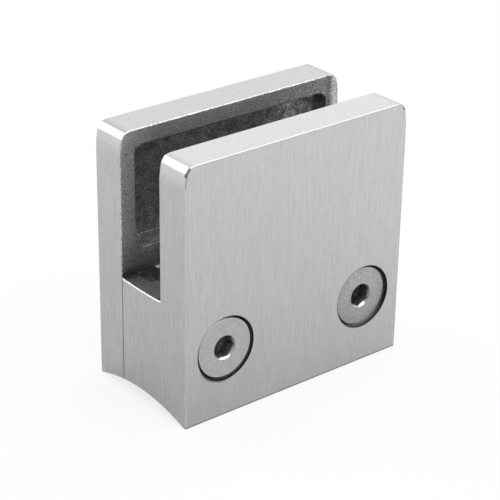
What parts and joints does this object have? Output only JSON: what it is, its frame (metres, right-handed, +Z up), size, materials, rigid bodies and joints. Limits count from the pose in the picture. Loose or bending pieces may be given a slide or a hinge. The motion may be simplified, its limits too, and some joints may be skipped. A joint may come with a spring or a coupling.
{
  "type": "glass clamp",
  "caption": "Satin steel clamp that sits on a round rail tube and grips a glass sheet between a fixed front jaw and a screwed-on rear jaw.",
  "frame": {"origin": "on the axis of the fixing hole, level with the two long bottom edges of the foot", "axes": "+X along the rail tube and the glass, +Y from the front jaw with the screw heads to the rear jaw, +Z up, out of the slot"},
  "size_m": [0.05, 0.026, 0.05],
  "materials": {
    "satin_steel": "satin, brushed from top to bottom outside, left as cast inside the slot",
    "screw_steel": "plain satin, turned"
  },
  "bodies": {
    "base": {"clamp_body": "satin_steel"},
    "rear_jaw": {"rear_jaw": "satin_steel"},
    "screw_left": {"screw_left": "screw_steel"},
    "screw_right": {"screw_right": "screw_steel"}
  },
  "joints": [
    {"name": "screw_left_turn", "type": "hinge", "parent": "base", "child": "screw_left", "pos_m": [-0.0161, -0.0124, 0.0134], "axis": [0, -1, 0], "range_deg": [0, 1080]},
    {"name": "screw_right_turn", "type": "hinge", "parent": "base", "child": "screw_right", "pos_m": [0.0161, -0.0124, 0.0134], "axis": [0, -1, 0], "range_deg": [0, 1080]},
    {"name": "rear_jaw_travel", "type": "slide", "parent": "base", "child": "rear_jaw", "axis": [0, 1, 0], "range_m": [0, 0.003]}
  ],
  "couplings": [
    {"joint": "screw_left_turn", "follows": "rear_jaw_travel", "rad_per_m": 6283.2},
    {"joint": "screw_right_turn", "follows": "rear_jaw_travel", "rad_per_m": 6283.2}
  ]
}
